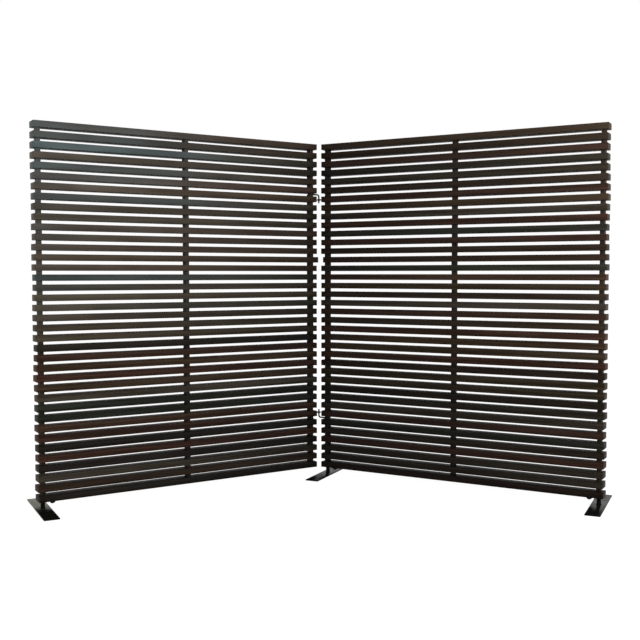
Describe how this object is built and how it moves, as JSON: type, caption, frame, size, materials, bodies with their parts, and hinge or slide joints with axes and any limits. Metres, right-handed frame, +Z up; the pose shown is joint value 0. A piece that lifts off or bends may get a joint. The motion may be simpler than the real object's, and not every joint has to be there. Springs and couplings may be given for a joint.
{
  "type": "garden privacy screen",
  "caption": "Free-standing slatted garden screen: a pair of dark wood panels, hooked together so that they fold, on flat black steel feet.",
  "frame": {"origin": "on the ground, at the middle of the bottom of the screen's bounding box, between the two panels", "axes": "+Z up; +X to the right across the screen's width; the fold axis stands on the +Y side and the V opens towards -Y"},
  "size_m": [2.73, 1.1022, 1.7102],
  "materials": {
    "stained_wood": "dark espresso stain, satin, fine straight grain",
    "black_steel": "gloss black paint",
    "hook_steel": "blackened satin",
    "zinc_steel": "bright zinc plate"
  },
  "bodies": {
    "right_panel": {"right_foot_bolts": "black_steel", "right_foot_plate": "black_steel", "right_foot_post": "black_steel", "right_rod_nuts": "zinc_steel", "right_slats_01_02": "stained_wood", "right_slats_03_04": "stained_wood", "right_slats_05_06": "stained_wood", "right_slats_07_08": "stained_wood", "right_slats_09_10": "stained_wood", "right_slats_11_12": "stained_wood", "right_slats_13_14": "stained_wood", "right_slats_15_16": "stained_wood", "right_slats_17_18": "stained_wood", "right_slats_19_20": "stained_wood", "right_slats_21_22": "stained_wood", "right_slats_23_24": "stained_wood", "right_slats_25_26": "stained_wood", "right_slats_27_28": "stained_wood", "right_slats_29_30": "stained_wood", "right_slats_31_32": "stained_wood", "right_slats_33_34": "stained_wood", "right_slats_35_36": "stained_wood", "right_slats_37_38": "stained_wood", "right_spacers_joint": "stained_wood", "right_spacers_middle": "stained_wood", "right_spacers_outer": "stained_wood", "right_tie_rods": "zinc_steel", "joint_foot_plate": "black_steel", "joint_foot_post": "black_steel", "bottom_hook": "hook_steel", "top_eye": "hook_steel"},
    "left_panel": {"left_foot_bolt": "black_steel", "left_foot_plate": "black_steel", "left_foot_post": "black_steel", "left_rod_nuts": "zinc_steel", "left_slats_01_02": "stained_wood", "left_slats_03_04": "stained_wood", "left_slats_05_06": "stained_wood", "left_slats_07_08": "stained_wood", "left_slats_09_10": "stained_wood", "left_slats_11_12": "stained_wood", "left_slats_13_14": "stained_wood", "left_slats_15_16": "stained_wood", "left_slats_17_18": "stained_wood", "left_slats_19_20": "stained_wood", "left_slats_21_22": "stained_wood", "left_slats_23_24": "stained_wood", "left_slats_25_26": "stained_wood", "left_slats_27_28": "stained_wood", "left_slats_29_30": "stained_wood", "left_slats_31_32": "stained_wood", "left_slats_33_34": "stained_wood", "left_slats_35_36": "stained_wood", "left_slats_37_38": "stained_wood", "left_spacers_joint": "stained_wood", "left_spacers_middle": "stained_wood", "left_spacers_outer": "stained_wood", "left_tie_rods": "zinc_steel", "top_hook": "hook_steel", "bottom_eye": "hook_steel"}
  },
  "joints": [
    {"name": "panel_fold", "type": "hinge", "parent": "right_panel", "child": "left_panel", "pos_m": [0, 0.38065, 0], "axis": [0, 0, 1], "range_deg": [-144, 24]}
  ]
}
